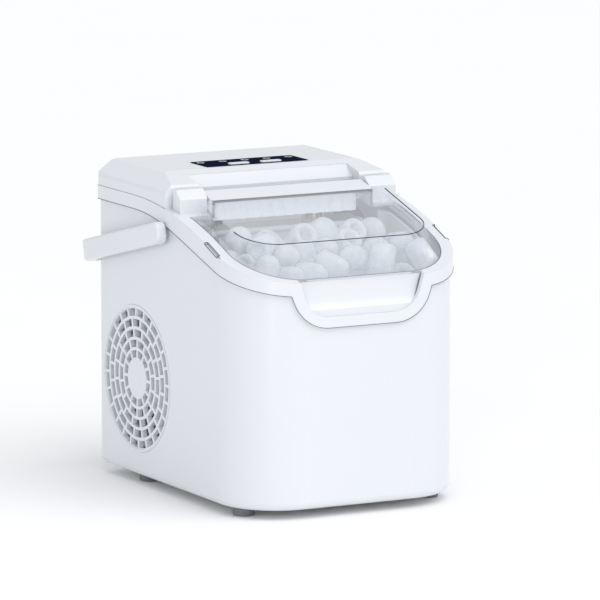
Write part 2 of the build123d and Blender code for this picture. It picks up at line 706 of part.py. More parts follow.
FRAME_TOP = 250.0
with BuildPart(HOUSING) as evaporator_frame:
    for s in (-1, 1):
        with Locations((s * (FRAME_X + 1), TRAY_Y + 4, (DECK_Z + DECK_T + FRAME_TOP) / 2)):
            Box(2, 38, FRAME_TOP - DECK_Z - DECK_T)
    with Locations((0, TRAY_Y + 4, FRAME_TOP + 1)):
        Box(2 * FRAME_X + 4, 38, 2)
    # arms that reach forward to the shovel's shaft
    for s in (-1, 1):
        with Locations((s * (FRAME_X + 1), 9, SHOVEL_Z)):
            Box(2, 34, 10)
    with Locations((0, SHOVEL_Y, SHOVEL_Z)):
        Cylinder(3.05, 200, rotation=(0, 90, 0), mode=Mode.SUBTRACT)
    with Locations((0, TRAY_Y, TRAY_Z)):
        Cylinder(3.05, 200, rotation=(0, 90, 0), mode=Mode.SUBTRACT)
    with Locations((SUCTION_X, TRAY_Y + 2, FRAME_TOP)):
        Cylinder(3.5, 20, mode=Mode.SUBTRACT)
keep(evaporator_frame, "evaporator_frame")

with BuildPart(HOUSING) as evaporator_plate:
    with Locations((0, TRAY_Y, TRAY_Z + 14)):
        Box(118, 38, 8)
    with Locations((0, TRAY_Y + 2, (TRAY_Z + 18 + FRAME_TOP) / 2)):
        with GridLocations(90, 0, 2, 1):
            Box(8, 6, FRAME_TOP - TRAY_Z - 18)
keep(evaporator_plate, "evaporator_plate")

with BuildPart(HOUSING) as evaporator_fingers:
    with Locations((0, TRAY_Y, TRAY_Z - 7)):
        with GridLocations(40, 13, 3, 3):
            Cylinder(4.5, 34)
keep(evaporator_fingers, "evaporator_fingers")

with BuildPart(HOUSING) as water_tray:
    with Locations((0, TRAY_Y, TRAY_Z)):
        Cylinder(TRAY_R, 2 * TRAY_HALF, rotation=(0, 90, 0))
        Cylinder(TRAY_R - TRAY_T, 2 * (TRAY_HALF - TRAY_T), rotation=(0, 90, 0), mode=Mode.SUBTRACT)
        with Locations((0, 0, 25)):
            Box(200, 100, 50, mode=Mode.SUBTRACT)
    # a boss at each end holds its shaft
    for s in (-1, 1):
        with Locations((s * (TRAY_HALF - 1), TRAY_Y, TRAY_Z)):
            Cylinder(5, 2, rotation=(0, 90, 0))
        with Locations((s * (TRAY_HALF - 1), TRAY_Y, TRAY_Z)):
            Cylinder(3, 10, rotation=(0, 90, 0), mode=Mode.SUBTRACT)
keep(water_tray, "water_tray")

with BuildPart(HOUSING) as tray_shafts:
    for s in (-1, 1):
        with Locations((s * (TRAY_HALF + 3.5), TRAY_Y, TRAY_Z)):
            Cylinder(3, 11, rotation=(0, 90, 0))
keep(tray_shafts, "tray_shafts")

with BuildPart(HOUSING) as tray_motor:
    with Locations((FRAME_X + 2 + 10, TRAY_Y, TRAY_Z)):
        Cylinder(14, 20, rotation=(0, 90, 0))
    with Locations((FRAME_X + 4, TRAY_Y, TRAY_Z)):
        Cylinder(3.05, 6, rotation=(0, 90, 0), mode=Mode.SUBTRACT)
keep(tray_motor, "tray_motor")

with BuildPart(HOUSING) as ice_shovel:
    with Locations((0, SHOVEL_Y, SHOVEL_Z)):
        Cylinder(3, 2 * FRAME_X + 8, rotation=(0, 90, 0))
    with Locations((0, SHOVEL_Y, SHOVEL_Z - SHOVEL_L / 2)):
        Box(2 * 66, 3, SHOVEL_L)
    # the paddle is a comb
    with Locations((0, SHOVEL_Y, SHOVEL_Z - SHOVEL_L)):
        with GridLocations(16, 0, 8, 1):
            Box(7, 10, 2 * (SHOVEL_L - 9), mode=Mode.SUBTRACT)
keep(ice_shovel, "ice_shovel")


# ---------------------------------------------------------------- pump and hoses
def tube(points, radius, bends):
    """A round tube along straight runs joined by arcs."""
    with BuildPart(HOUSING) as pipe:
        with BuildLine(mode=Mode.PRIVATE) as route:
            FilletPolyline(*[(x, y + HOUSING_Y, z) for x, y, z in points], radius=bends)
        start = route.wires()[0]
        with BuildSketch(Plane(origin=start @ 0, z_dir=start % 0)) as section:
            Circle(radius)
        sweep(sections=section.sketch, path=start)
    return pipe


PUMP_X = 56.0
HOSE_TOP = 241.5
PUMP_TOP = 100.0
with BuildPart(HOUSING) as water_pump:
    with Locations((PUMP_X, HOSE_Y, (PAN_Z + PAN_T + PUMP_TOP) / 2)):
        Cylinder(11, PUMP_TOP - PAN_Z - PAN_T)
    with Locations((PUMP_X, HOSE_Y, PAN_Z + PAN_T + 2)):
        Cylinder(13, 4)
keep(water_pump, "water_pump")

pump_hose = tube(
    [
        (PUMP_X, HOSE_Y, PUMP_TOP),
        (PUMP_X, HOSE_Y, 125),
        (HOSE_X, HOSE_Y, 125),
        (HOSE_X, HOSE_Y, HOSE_TOP),
        (60, HOSE_Y, HOSE_TOP),
    ],
    3.5,
    12,
)
keep(pump_hose, "pump_hose")

drain_hose = tube(
    [
        (DRAIN_X - 8, TANK_REAR - 14, TANK_Z),
        (DRAIN_X - 8, TANK_REAR - 14, DRAIN_Z),
        (DRAIN_X, 40, DRAIN_Z),
        (DRAIN_X, 116, DRAIN_Z),
    ],
    4.5,
    14,
)
keep(drain_hose, "drain_hose")

with BuildPart(HOUSING) as drain_outlet:
    with Locations((DRAIN_X, (HALF_D + 116) / 2 + 0.4, DRAIN_Z)):
        Cylinder(7, HALF_D - 116 + 0.8, rotation=(90, 0, 0))
    with Locations((DRAIN_X, HALF_D - 4, DRAIN_Z)):
        Cylinder(9, 3, rotation=(90, 0, 0))
    with Locations((DRAIN_X, HALF_D - 8, DRAIN_Z)):
        Cylinder(5, 20, rotation=(90, 0, 0), mode=Mode.SUBTRACT)
keep(drain_outlet, "drain_outlet")

with BuildPart(HOUSING) as drain_plug:
    with Locations((DRAIN_X, HALF_D + 4, DRAIN_Z)):
        Cylinder(8, 5, rotation=(90, 0, 0))
    with Locations((DRAIN_X, HALF_D - 4, DRAIN_Z)):
        Cylinder(4.94, 13, rotation=(90, 0, 0))
    with Locations((DRAIN_X, HALF_D + 8.5, DRAIN_Z)):
        Box(3, 5, 13)
keep(drain_plug, "drain_plug")


# ---------------------------------------------------------------- cooling circuit
with BuildPart(HOUSING) as compressor:
    with Locations((COMP_X, COMP_Y, 80)):
        Cylinder(COMP_R, 112)
    fillet(compressor.edges().filter_by(GeomType.CIRCLE), 13)
    with Locations((COMP_X, COMP_Y, 26)):
        Cylinder(36, 8)
    with Locations((COMP_X, COMP_Y, 21)):
        with PolarLocations(38, 3, 30):
            Cylinder(8, 2)
        Cylinder(33, 2)
keep(compressor, "compressor")

with BuildPart(HOUSING) as compressor_grommets:
    with Locations((COMP_X, COMP_Y, (PAN_Z + PAN_T + 2 + 20) / 2)):
        with PolarLocations(38, 3, 30):
            Cylinder(6, 20 - PAN_Z - PAN_T - 2)
keep(compressor_grommets, "compressor_grommets")

with BuildPart(HOUSING) as terminal_cover:
    with Locations((COMP_X - COMP_R - 2, COMP_Y, 84)):
        Box(16, 34, 40)
    with Locations((COMP_X, COMP_Y, 84)):
        Cylinder(COMP_R + 0.05, 60, mode=Mode.SUBTRACT)
keep(terminal_cover, "terminal_cover")

with BuildPart(HOUSING) as filter_drier:
    with Locations((-24, 28, 80)):
        Cylinder(8, 70)
    fillet(filter_drier.edges().filter_by(GeomType.CIRCLE), 5)
keep(filter_drier, "filter_drier")

discharge_line = tube(
    [(COMP_X - 18, COMP_Y, 136), (COMP_X - 18, COMP_Y, 148), (-40.15, COMP_Y, 148)],
    3,
    7,
)
keep(discharge_line, "discharge_line")

suction_line = tube(
    [
        (SUCTION_X, SUCTION_Y, 136),
        (SUCTION_X, SUCTION_Y, 262),
        (SUCTION_X, TRAY_Y + 2, 262),
        (SUCTION_X, TRAY_Y + 2, TRAY_Z + 18),
    ],
    3,
    10,
)
keep(suction_line, "suction_line")

with BuildPart(HOUSING) as hot_gas_valve:
    with Locations((-30, 100, DECK_Z + DECK_T + 12)):
        Box(20, 18, 24)
        with Locations((0, 0, 15)):
            Cylinder(8, 14)
keep(hot_gas_valve, "hot_gas_valve")


# ---------------------------------------------------------------- electrics
SHELF_Z = 206.0
with BuildPart(HOUSING) as board_bracket:
    with Locations((0, 112, SHELF_Z)):
        Box(104, 52, 1.6)
    for s in (-1, 1):
        with Locations((s * 51, 112, (DECK_Z + DECK_T + SHELF_Z) / 2)):
            Box(1.6, 52, SHELF_Z - DECK_Z - DECK_T)
    with Locations((0, 112, SHELF_Z + 0.8 + 3)):
        with GridLocations(84, 38, 2, 2):
            Cylinder(2.5, 6)
keep(board_bracket, "board_bracket")

with BuildPart(HOUSING) as main_board:
    with Locations((0, 112, SHELF_Z + 6.8 + 0.8)):
        Box(96, 48, 1.6)
    for x, y, w, d, h in ((-34, 104, 16, 20, 15), (-10, 122, 22, 14, 12), (18, 104, 14, 14, 18), (38, 118, 10, 16, 9)):
        with Locations((x, y, SHELF_Z + 8.4 + h / 2)):
            Box(w, d, h)
keep(main_board, "main_board")

with BuildPart(HOUSING) as power_inlet:
    with Locations((INLET_X, HALF_D - 9, INLET_Z)):
        Box(28, 20, 20)
    with Locations((INLET_X, HALF_D + 1, INLET_Z)):
        Box(34, 2, 26)
    fillet(power_inlet.edges().filter_by(Axis.Y), 1.5)
    with Locations((INLET_X, HALF_D - 6, INLET_Z)):
        Box(24, 16.2, 16, mode=Mode.SUBTRACT)
    # three flat prongs stand up from the floor of the socket
    for x, z in ((-7, -2), (0, 3), (7, -2)):
        with Locations((INLET_X + x, HALF_D - 10, INLET_Z + z)):
            Box(2, 9, 4)
keep(power_inlet, "power_inlet")
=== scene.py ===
# %% [markdown]
# # A countertop ice maker
# A white plastic machine with a clear lid, a heap of ice in its basket, a fan grille on one side
# and a handle folded back. The measured parts come ready made, each on the body that it moves
# with. This lesson gives every part its finish, fills the basket and lights the machine.

# %% Fetch the machine
import math

import bmesh
import bpy
import numpy as np
from mathutils import Matrix, Vector


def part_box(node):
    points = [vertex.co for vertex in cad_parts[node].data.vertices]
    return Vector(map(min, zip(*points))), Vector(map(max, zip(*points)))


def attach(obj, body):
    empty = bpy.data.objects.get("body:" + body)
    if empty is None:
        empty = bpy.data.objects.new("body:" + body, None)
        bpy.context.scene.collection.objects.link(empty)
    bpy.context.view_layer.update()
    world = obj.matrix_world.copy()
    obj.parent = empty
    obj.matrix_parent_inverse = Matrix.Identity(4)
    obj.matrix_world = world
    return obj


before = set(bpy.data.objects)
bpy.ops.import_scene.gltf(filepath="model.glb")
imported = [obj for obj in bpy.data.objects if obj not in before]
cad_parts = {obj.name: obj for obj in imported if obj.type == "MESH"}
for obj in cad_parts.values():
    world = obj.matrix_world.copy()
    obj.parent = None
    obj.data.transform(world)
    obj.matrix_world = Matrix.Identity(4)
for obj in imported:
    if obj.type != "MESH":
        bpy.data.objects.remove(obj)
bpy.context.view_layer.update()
MM = 0.001
shell_low, shell_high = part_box("wrap_housing")
middle_y = (shell_low.y + shell_high.y) / 2
print("parts:", len(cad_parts), " housing centre y:", round(middle_y, 4))

# %% [markdown]
# ## Camera
# A long lens from far away keeps upright edges nearly parallel, which suits a boxy machine. The
# camera stands to the left of the front and a little above it.

# %% Stand the camera
AIM_HEIGHT = 0.140
CAMERA_DISTANCE = 5.3435
LONG_LENS = 363
aim = Vector((0, middle_y, AIM_HEIGHT))
towards_camera = Vector((-0.4601, -0.8727, 0.1637)).normalized()
eye = bpy.data.cameras.new("eye")
eye.lens = LONG_LENS
eye.sensor_width = 36
eye.shift_x = 0.0278
eye.shift_y = 0.051
eye.clip_end = 60
eye_stand = bpy.data.objects.new("eye", eye)
eye_stand.location = aim + towards_camera * CAMERA_DISTANCE
eye_stand.rotation_euler = towards_camera.to_track_quat("Z", "Y").to_euler()
bpy.context.scene.collection.objects.link(eye_stand)
bpy.context.scene.camera = eye_stand
print("camera to machine:", round((eye_stand.location - aim).length, 3), "m")


# %% [markdown]
# ## Shader maths as sums
# A finish is a small tree of nodes. Wiring every node by hand hides the idea, so one class wraps
# an output socket and lets Python's own signs add the Math nodes. Colours and vectors go through
# Mix and Vector Math, since a Math node would turn a colour grey.

# %% A wire that can be added and multiplied
class Wire:
    """An output of one node, used in sums."""

    def __init__(self, bench, socket):
        self.bench = bench
        self.socket = socket

    def sum_of(self, operation, first, second):
        return self.bench.put("ShaderNodeMath", {"operation": operation}, {0: first, 1: second})

    def __add__(self, other):
        return self.sum_of("ADD", self, other)

    def __radd__(self, other):
        return self.sum_of("ADD", other, self)

    def __sub__(self, other):
        return self.sum_of("SUBTRACT", self, other)

    def __rsub__(self, other):
        return self.sum_of("SUBTRACT", other, self)

    def __mul__(self, other):
        return self.sum_of("MULTIPLY", self, other)

    def __rmul__(self, other):
        return self.sum_of("MULTIPLY", other, self)


# %% A bench where one finish is wired
class Bench:
    """The node tree of one finish."""

    def __init__(self, name):
        self.finish = bpy.data.materials.new(name)
        self.finish.use_nodes = True
        self.tree = self.finish.node_tree
        self.tree.nodes.clear()

    def put(self, kind, settings=None, sockets=None, out=0):
        """Add a node: its settings first, then the values or wires of its sockets."""
        node = self.tree.nodes.new(kind)
        for name, value in (settings or {}).items():
            if name == "stops":
                for stop, (place, tone) in zip(node.color_ramp.elements, value):
                    stop.position = place
                    stop.color = (tone, tone, tone, 1)
            else:
                setattr(node, name, value)
        for name, value in (sockets or {}).items():
            if isinstance(value, Wire):
                self.tree.links.new(value.socket, node.inputs[name])
            else:
                node.inputs[name].default_value = value
        return Wire(self, node.outputs[out]) if node.outputs else None

    def place(self):
        """Where a point is on the part, in metres."""
        return self.put("ShaderNodeTexCoord", out=3)

    def stretched(self, by):
        """The same place, stretched differently along X, Y and Z."""
        return self.put("ShaderNodeVectorMath", {"operation": "MULTIPLY"}, {0: self.place(), 1: by})

    def noise(self, scale, detail=2.0, place=None):
        """Cloudy values around one half."""
        sockets = {"Vector": place or self.place(), "Scale": scale, "Detail": detail}
        return self.put("ShaderNodeTexNoise", None, sockets)

    def mixed(self, share, first, second):
        """One colour where share is 0, the other where it is 1."""
        sockets = {0: share, 6: (*first, 1), 7: (*second, 1)}
        return self.put("ShaderNodeMix", {"data_type": "RGBA"}, sockets, out=2)

    def bump(self, height, depth):
        """A surface normal from a height between 0 and 1, depth metres deep."""
        sockets = {"Strength": 1.0, "Distance": depth, "Height": height}
        return self.put("ShaderNodeBump", None, sockets)

    def body(self, **sockets):
        """The general shader; an underscore in a name stands for a space."""
        named = {name.replace("_", " "): value for name, value in sockets.items()}
        return self.put("ShaderNodeBsdfPrincipled", None, named)

    def done(self, shader):
        self.put("ShaderNodeOutputMaterial", None, {"Surface": shader})
        return self.finish


# %% [markdown]
# ## Moulded plastic
# Every shell part is injection moulded. Up close, moulded plastic isn't one flat colour: its
# pigment drifts slightly, its gloss varies with the flow of the melt, and a fine ripple from the
# polished steel breaks up reflections. One recipe with a few numbers covers all of them.

# %% A recipe for moulded plastic
def moulded(name, colour, gloss, ripple=0.00002, drift=0.03, grain=420.0, coat=0.0, glint=0.5):
    """Plastic of a colour; gloss is its roughness, ripple its skin's depth in metres, drift how
    much its pigment darkens in clouds, grain how fine the ripple is."""
    bench = Bench(name)
    cloud = bench.noise(14.0, 3.0)
    darker = [part * (1 - drift) for part in colour]
    fine = bench.noise(grain, 2.0)
    shader = bench.body(
        Base_Color=bench.mixed(cloud, colour, darker),
        Roughness=gloss + 0.08 * (bench.noise(60.0) - 0.5),
        Specular_IOR_Level=glint,
        Coat_Weight=coat,
        Coat_Roughness=0.08,
        Normal=bench.bump(fine, ripple),
    )
    return bench.done(shader)


finishes = {
    "white_plastic": moulded("white_plastic", (0.755, 0.775, 0.81), 0.22, coat=0.4),
    "rear_plastic": moulded("rear_plastic", (0.72, 0.73, 0.745), 0.42, 0.00004),
    "strip_black": moulded("strip_black", (0.008, 0.012, 0.028), 0.30, 0.00001, glint=0.0),
    "lamp_clear": moulded("lamp_clear", (0.50, 0.52, 0.56), 0.35, drift=0.12),
    "grey_plastic": moulded("grey_plastic", (0.40, 0.41, 0.425), 0.45, 0.00005),
    "tank_plastic": moulded("tank_plastic", (0.72, 0.74, 0.76), 0.32),
    "basket_plastic": moulded("basket_plastic", (0.70, 0.74, 0.79), 0.25, coat=0.3),
    "tray_plastic": moulded("tray_plastic", (0.66, 0.68, 0.70), 0.35),
    "dark_plastic": moulded("dark_plastic", (0.035, 0.036, 0.040), 0.5, 0.00005, drift=0.2),
    "rubber_grey": moulded("rubber_grey", (0.20, 0.205, 0.215), 0.7, 0.00012, 0.15, 900.0),
    "rubber_black": moulded("rubber_black", (0.025, 0.025, 0.026), 0.75, 0.00012, 0.25, 900.0),
}
print("moulded finishes:", len(finishes))

# %% [markdown]
# ## Foam, metals and the circuit board
# Inside are expanded foam, zinc plate, aluminium fins, nickel, copper and painted steel. Rolled
# and drawn metal has fine lines along the way it was worked, so its noise is stretched that way.

# %% Foam with its beads
def beaded_foam(name, colour):
    """Expanded foam: small round beads pressed together."""
    bench = Bench(name)
    beads = bench.put("ShaderNodeTexVoronoi", None, {"Vector": bench.place(), "Scale": 260.0})
    shader = bench.body(
        Base_Color=bench.mixed(beads, colour, [part * 0.86 for part in colour]),
        Roughness=0.85 - 0.1 * beads,
        Normal=bench.bump(1 - beads, 0.0004),
    )
    return bench.done(shader)


finishes["foam"] = beaded_foam("foam", (0.80, 0.80, 0.77))


# %% Metals with their working lines
def worked_metal(name, colour, gloss, lines=(1, 1, 1), tarnish=0.1):
    """Metal; lines stretches its scratches, tarnish darkens it in clouds."""
    bench = Bench(name)
    scratches = bench.noise(900.0, 3.0, bench.stretched(lines))
    cloud = bench.noise(35.0, 4.0)
    shader = bench.body(
        Base_Color=bench.mixed(cloud, colour, [part * (1 - tarnish) for part in colour]),
        Metallic=1.0,
        Roughness=gloss + 0.16 * (scratches - 0.5),
        Normal=bench.bump(scratches, 0.00002),
    )
    return bench.done(shader)


finishes["steel_zinc"] = worked_metal("steel_zinc", (0.60, 0.61, 0.62), 0.34, (0.08, 1, 1))
finishes["bare_aluminium"] = worked_metal("bare_aluminium", (0.74, 0.75, 0.76), 0.40, (1, 1, 0.05))
finishes["nickel_plate"] = worked_metal("nickel_plate", (0.66, 0.65, 0.62), 0.16)
finishes["copper_pipe"] = worked_metal("copper_pipe", (0.75, 0.38, 0.24), 0.30, tarnish=0.35)


# %% Paint on steel, and the green board
def sprayed(name, colour, gloss, spots, depth):
    """Paint or solder mask with small specks and an uneven skin."""
    bench = Bench(name)
    specks = bench.put(
        "ShaderNodeValToRGB",
        {"stops": [(0.55, 0.0), (0.72, 1.0)]},
        {"Fac": bench.noise(spots, 5.0)},
    )
    lighter = [min(1, part * 1.9 + 0.02) for part in colour]
    shader = bench.body(
        Base_Color=bench.mixed(specks, colour, lighter),
        Roughness=gloss + 0.15 * specks,
        Normal=bench.bump(bench.noise(300.0), depth),
    )
    return bench.done(shader)


finishes["black_paint"] = sprayed("black_paint", (0.018, 0.018, 0.020), 0.32, 150.0, 0.00006)
finishes["green_board"] = sprayed("green_board", (0.02, 0.16, 0.07), 0.38, 420.0, 0.00005)
print("finishes so far:", sorted(finishes))

# %% [markdown]
# ## Clear lid
# The lid's window is one moulding of clear plastic, 2.4 mm thick. Real refraction through it needs
# many light paths and leaves the ice under it dark and noisy. Thin clear plastic hardly bends
# light, so here it lets light straight through and mirrors more of it at a glancing angle.

# %% Clear plastic
def clear_moulding(name, tint, haze, glare):
    """Clear plastic: haze is its milkiness seen face on, glare its mirror at a glancing angle."""
    bench = Bench(name)
    through = bench.put("ShaderNodeBsdfTransparent", None, {"Color": (*tint, 1)})
    streaks = bench.noise(30.0, 2.0, bench.stretched((1, 0.3, 1)))
    skin = bench.body(
        Base_Color=bench.mixed(streaks, (0.86, 0.89, 0.93), (0.80, 0.84, 0.89)),
        Roughness=0.05 + 0.04 * streaks,
        Normal=bench.bump(bench.noise(45.0), 0.0001),
    )
    facing = bench.put("ShaderNodeLayerWeight", None, {"Blend": 0.35}, out=1)
    share = haze + glare * facing * facing
    shader = bench.put("ShaderNodeMixShader", None, {0: share, 1: through, 2: skin})
    return bench.done(shader)


finishes["clear_plastic"] = clear_moulding("clear_plastic", (0.99, 0.993, 0.997), 0.13, 0.45)

# %% [markdown]
# ## Which part has which finish
# A table of names is easier to check than a rule, and a part that is left out shows at once.

# %% Dress the parts
dressed = {
    "white_plastic": "wrap_housing trim_ring grip_panel top_cover hinge_block_left "
    "hinge_block_right lid_bar carry_handle side_grille power_button select_button",
    "rear_plastic": "rear_cover",
    "clear_plastic": "lid_window",
    "strip_black": "control_overlay",
    "lamp_clear": "light_guides",
    "rubber_grey": "rubber_feet",
    "rubber_black": "compressor_grommets drain_plug pump_hose drain_hose",
    "steel_zinc": "housing_screws base_pan hinge_pins handle_pivots tray_shafts fan_shaft",
    "grey_plastic": "handle_bushes tank_legs drain_outlet water_pump terminal_cover",
    "tank_plastic": "water_tank",
    "basket_plastic": "ice_basket",
    "foam": "tank_foam",
    "tray_plastic": "water_tray ice_shovel fan_shroud fan_blade evaporator_frame inner_deck "
    "board_bracket",
    "bare_aluminium": "condenser",
    "nickel_plate": "evaporator_plate evaporator_fingers",
    "copper_pipe": "suction_line discharge_line filter_drier",
    "black_paint": "compressor",
    "dark_plastic": "button_switches ice_sensor tray_motor fan_motor hot_gas_valve power_inlet",
    "green_board": "display_board main_board",
}


def dress(part, finish):
    """Give a part one finish all over."""
    part.data.materials.clear()
    part.data.materials.append(finish)


def made(name, shape, finish):
    """A new piece from a built shape, put in the scene with its finish."""
    mesh = bpy.data.meshes.new(name)
    shape.to_mesh(mesh)
    shape.free()
    piece = bpy.data.objects.new(name, mesh)
    bpy.context.scene.collection.objects.link(piece)
    dress(piece, finish)
    return piece


undressed = set(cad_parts)
for finish_name, part_names in dressed.items():
    for part_name in part_names.split():
        dress(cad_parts[part_name], finishes[finish_name])
        undressed.discard(part_name)
print("parts without a finish:", sorted(undressed))

# %% [markdown]
# ## Shadow gaps
# Where two mouldings meet there is a fine gap, and the shade in it reads as a thin dark line.
# That shade is painted: a fine dark bead stands in for it. The line follows edges that the
# parts already have, so it is found in their meshes rather than drawn by hand: weld a part's
# mesh, pick its sharp edges by a test, and lay a fine bead along them. The tests look at where
# an edge's middle is, in mm from the housing's centre, and which way its faces look.

# %% Find sharp edges
def sharp_edges(part_name, test, least_angle=35):
    """Ends of a part's sharp edges whose middle and two face directions pass the test."""
    welded = bmesh.new()
    welded.from_mesh(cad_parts[part_name].data)
    bmesh.ops.remove_doubles(welded, verts=welded.verts, dist=0.000005)
    found = []
    for edge in welded.edges:
        if len(edge.link_faces) != 2 or edge.calc_face_angle(0) < math.radians(least_angle):
            continue
        ends = [v.co.copy() for v in edge.verts]
        centre = (ends[0] + ends[1]) / 2
        centre.y -= middle_y
        if test(centre / MM, [face.normal.copy() for face in edge.link_faces]):
            found.append(ends)
    welded.free()
    return found


# %% Lay a bead
def bead(name, runs, width, finish, rider):
    """A fine four-sided line along many short runs, riding on a body."""
    shape = bmesh.new()
    for start, end in runs:
        along = end - start
        if along.length < 1e-6:
            continue
        across = along.orthogonal().normalized() * width * MM / 2
        other = along.cross(across).normalized() * width * MM / 2
        corners = (across, other, -across, -other)
        rings = [[shape.verts.new(middle + corner) for corner in corners] for middle in (start, end)]
        for k in range(4):
            shape.faces.new([rings[0][k], rings[0][k - 1], rings[1][k - 1], rings[1][k]])
        shape.faces.new(rings[0])
        shape.faces.new(rings[1][::-1])
    piece = made(name, shape, finish)
    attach(piece, rider)
    print(name, "runs:", len(runs))


# Painted shade: a dark grey finish for beads that stand in for the shade in gaps and at edges.
painted_gap_shade = moulded("gap_shadow", (0.19, 0.195, 0.21), 0.6, drift=0.2, glint=0.1)
# Painted shade: a near black finish for beads in the latch notches and along the lid's crease.
painted_edge_dark = moulded("painted_edge_shade", (0.045, 0.05, 0.065), 0.3, drift=0.2, glint=0.3)

# %% Lay the gap lines
under_band = sharp_edges(
    "trim_ring",
    lambda at, facing: min(n.z for n in facing) < -0.25
    and (abs(at.x) > 113 or at.y < -90)
    and Vector((at.x, at.y)).length > 110,
)
bead("band_shadow", under_band, 0.7, painted_gap_shade, "machine")
# Painted shade along the mouths of the latch notches, where shade falls into them.
latch_mouths = sharp_edges(
    "trim_ring",
    lambda at, facing: abs(at.x) > 110.8 and -98 < at.y < -66 and 224 < at.z < 240,
)
bead("latch_lines", latch_mouths, 0.7, painted_edge_dark, "machine")
cover_foot = sharp_edges(
    "top_cover",
    lambda at, facing: min(n.z for n in facing) < -0.25 and (abs(at.x) > 112 or at.y > 140),
)
bead("cover_shadow", cover_foot, 0.6, painted_gap_shade, "machine")

# %% [markdown]
# Clear plastic shows its own edges as dark or bright lines, because light is caught and bent
# there. Here only the dark lines are painted, as dark beads: the window's flat top ends in such
# a line, and so does the lid's rim.

# %% Edges of the clear lid
WINDOW_RISE = 0.285  # mm up per mm back
flat_top = Vector((0, -WINDOW_RISE, 1)).normalized()
# Painted shade along the crease where the window's flat top ends.
crease = sharp_edges(
    "lid_window",
    lambda at, facing: max(n.dot(flat_top) for n in facing) > 0.999
    and (at.y < -72 or (at.x > 80 and at.y < -20)),
    8,
)
bead("lid_crease", crease, 1.0, painted_edge_dark, "lid")
rim = sharp_edges(
    # Painted shade along the lid's rim.
    "lid_window",
    lambda at, facing: max(n.z for n in facing) > 0.8
    and min(abs(n.z) for n in facing) < 0.3
    and (abs(at.x) > 101 or Vector((at.x, at.y + 30)).length > 100),
)
bead("lid_rim_line", rim, 0.45, painted_gap_shade, "lid")

# %% [markdown]
# ## Indicator marks
# Five small round marks show where the lamps are. A mark is printed, so it is a very thin ring
# that lies on the control strip.

# %% Print the marks
def printed_rings(name, places, height, outer, inner, finish):
    """Thin flat rings; sizes in mm, y from the housing's centre."""
    shape = bmesh.new()
    sides = 24
    thick = 0.15
    for x, y in places:
        loops = []
        for radius, z in ((outer, 0), (outer, thick), (inner, thick), (inner, 0)):
            turn = [2 * math.pi * k / sides for k in range(sides)]
            spots = [(x + radius * math.cos(t), y + radius * math.sin(t), height + z) for t in turn]
            loops.append([shape.verts.new((u * MM, middle_y + v * MM, w * MM)) for u, v, w in spots])
        for low, high in zip(loops, loops[1:] + loops[:1]):
            for k in range(sides):
                shape.faces.new([low[k - 1], low[k], high[k], high[k - 1]])
    rings = made(name, shape, finish)
    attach(rings, "machine")


strip_low, strip_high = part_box("control_overlay")
lamp_low, lamp_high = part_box("light_guides")
lamp_y = ((lamp_low.y + lamp_high.y) / 2 - middle_y) / MM
LAMP_SPAN = 4.23  # pitches from the first lamp's outer edge to the last one's
lamp_pitch = (lamp_high.x - lamp_low.x) / MM / LAMP_SPAN
places = [(lamp_pitch * n, lamp_y) for n in range(-2, 3)]
print_grey = moulded("print_grey", (0.42, 0.44, 0.48), 0.5, drift=0.05, glint=0.1)
printed_rings("indicator_marks", places, strip_high.z / MM, 3.6, 1.8, print_grey)
print("marks:", len(places), " pitch:", round(lamp_pitch, 1), "mm")

# %% [markdown]
# ## White liners
# Behind the freezing tray a white moulded wall closes the cold space off from the wiring. A skirt
# under the lid's bar hides the freezing fingers and swings up with the lid. Both are thin ribbed
# sheets, so each is made as a grid whose columns follow the ribs. Both also glow faintly: painted
# light, so that the shaded inside of the machine looks lit.

# %% Mould the liners
RIB_PITCH = 12
SHEET_THICKNESS = 0.4


def ribbed_sheet(name, half_width, y, foot, top, depth, rider):
    """A thin upright sheet with ribs of a depth; sizes in mm, y from the housing's centre."""
    shape = bmesh.new()
    columns, rows = 121, 8
    lines = []
    for r in range(rows + 1):
        height = foot + (top - foot) * r / rows
        line = []
        for c in range(columns):
            x = half_width * (2 * c / (columns - 1) - 1)
            rib = depth * math.cos(x / RIB_PITCH * 2 * math.pi)
            line.append(shape.verts.new((x * MM, middle_y + (y + rib) * MM, height * MM)))
        lines.append(line)
    for low, high in zip(lines, lines[1:]):
        for c in range(columns - 1):
            shape.faces.new([low[c], low[c + 1], high[c + 1], high[c]])
    sheet = made(name, shape, liner_white_glow)
    sheet.modifiers.new("thickness", "SOLIDIFY").thickness = SHEET_THICKNESS * MM
    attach(sheet, rider)


def liner_plastic(name):
    """White plastic with a faint painted glow, so that it looks lit inside the shaded machine."""
    bench = Bench(name)
    shader = bench.body(
        Base_Color=bench.mixed(bench.noise(14.0), (0.86, 0.88, 0.90), (0.83, 0.85, 0.88)),
        Roughness=0.4,
        # Painted light: a faint glow that brightens the shaded inside.
        Emission_Color=(0.93, 0.96, 1, 1),
        Emission_Strength=0.22,
    )
    return bench.done(shader)


# %% Stand the liners
liner_white_glow = liner_plastic("liner_white_glow")
tray_back = (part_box("water_tray")[1].y - middle_y) / MM
bracket_front = (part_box("board_bracket")[0].y - middle_y) / MM
print("room behind the tray:", round(bracket_front - tray_back, 2), "mm")
ribbed_sheet("rear_liner", 102, (tray_back + bracket_front) / 2, 166, 262, 0.3, "machine")
ribbed_sheet("lid_skirt", 71, -4, 243.5, 259.5, 0.9, "lid")

# %% [markdown]
# ## Bullet ice
# The machine freezes ice on metal fingers, so each piece is a thimble: a rounded cylinder with a
# hollow where the finger was. A turned outline gives that shape: it is spun round its axis and
# then made slightly uneven, since ice never freezes quite evenly.

